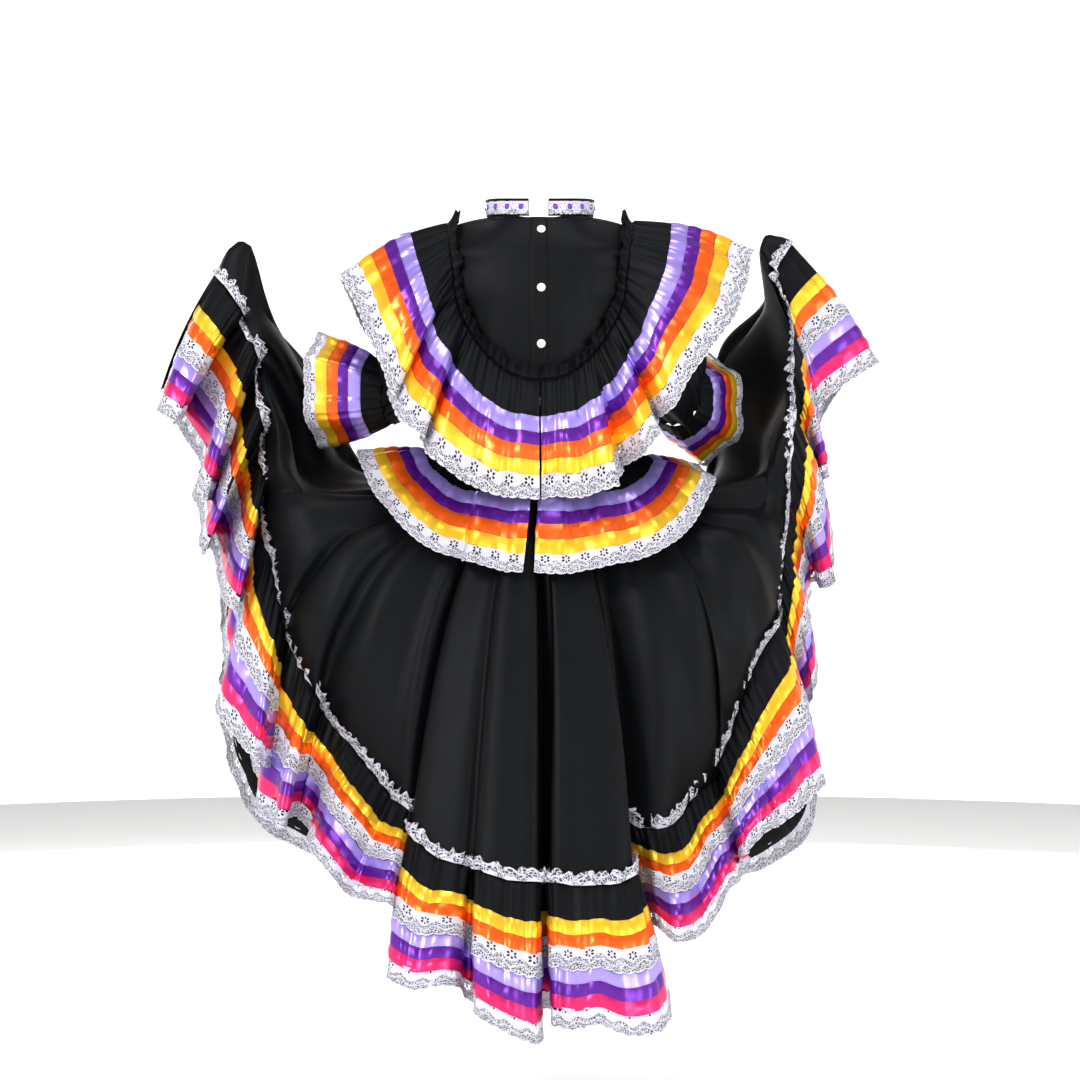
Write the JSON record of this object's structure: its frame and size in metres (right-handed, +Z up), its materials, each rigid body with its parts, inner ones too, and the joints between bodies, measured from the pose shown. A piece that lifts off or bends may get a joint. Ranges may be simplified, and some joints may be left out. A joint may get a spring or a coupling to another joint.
{
  "type": "jalisco dress",
  "caption": "Back-buttoned blouse with deep ribbon and lace flounces and a lifted circle skirt with a ribbon ruffle, held open as if worn.",
  "frame": {"origin": "inside the waist, at the wearer's torso centre, in the plane where blouse and skirt meet", "axes": "+Z up through the neck, +Y the way the wearer faces, +X to the wearer's right hand seen from behind"},
  "size_m": [1.16, 0.9209, 1.2582],
  "materials": {
    "black_cloth": "plain woven polyester, soft sheen",
    "lilac_ribbon": "satin ribbon, glossy",
    "purple_ribbon": "satin ribbon, glossy",
    "orange_ribbon": "satin ribbon, glossy",
    "yellow_ribbon": "satin ribbon, glossy",
    "magenta_ribbon": "satin ribbon, glossy",
    "lace": "white eyelet lace, matte",
    "ruched_trim": "gathered white lace edging, matte",
    "buttons": "pearly white, glossy"
  },
  "bodies": {
    "root": {"skirt_back_left": "black_cloth", "skirt_ruffle_back_left": "black_cloth", "skirt_back_right": "black_cloth", "skirt_ruffle_back_right": "black_cloth", "skirt_front_right": "black_cloth", "skirt_ruffle_front_right": "black_cloth", "skirt_front_left": "black_cloth", "skirt_ruffle_front_left": "black_cloth", "skirt_trim": "ruched_trim", "skirt_yellow": "yellow_ribbon", "skirt_orange": "orange_ribbon", "skirt_lace": "lace", "skirt_lilac": "lilac_ribbon", "skirt_purple": "purple_ribbon", "skirt_magenta": "magenta_ribbon", "skirt_hem_lace": "lace", "waistband": "black_cloth", "bodice_back_left": "black_cloth", "bodice_back_right": "black_cloth", "bodice_front": "black_cloth", "placket": "black_cloth", "button_1": "buttons", "button_2": "buttons", "button_3": "buttons", "button_4": "buttons", "collar": "black_cloth", "collar_lace": "lace", "bertha": "black_cloth", "bertha_lilac": "lilac_ribbon", "bertha_purple": "purple_ribbon", "bertha_orange": "orange_ribbon", "bertha_yellow": "yellow_ribbon", "bertha_lace": "lace", "bertha_heading": "black_cloth", "peplum": "black_cloth", "peplum_lilac": "lilac_ribbon", "peplum_purple": "purple_ribbon", "peplum_orange": "orange_ribbon", "peplum_yellow": "yellow_ribbon", "peplum_lace": "lace", "sleeve_left": "black_cloth", "sleeve_ruffle_left": "black_cloth", "sleeve_left_lilac": "lilac_ribbon", "sleeve_left_purple": "purple_ribbon", "sleeve_left_orange": "orange_ribbon", "sleeve_left_yellow": "yellow_ribbon", "sleeve_left_lace": "lace", "sleeve_right": "black_cloth", "sleeve_ruffle_right": "black_cloth", "sleeve_right_lilac": "lilac_ribbon", "sleeve_right_purple": "purple_ribbon", "sleeve_right_orange": "orange_ribbon", "sleeve_right_yellow": "yellow_ribbon", "sleeve_right_lace": "lace"}
  },
  "joints": []
}
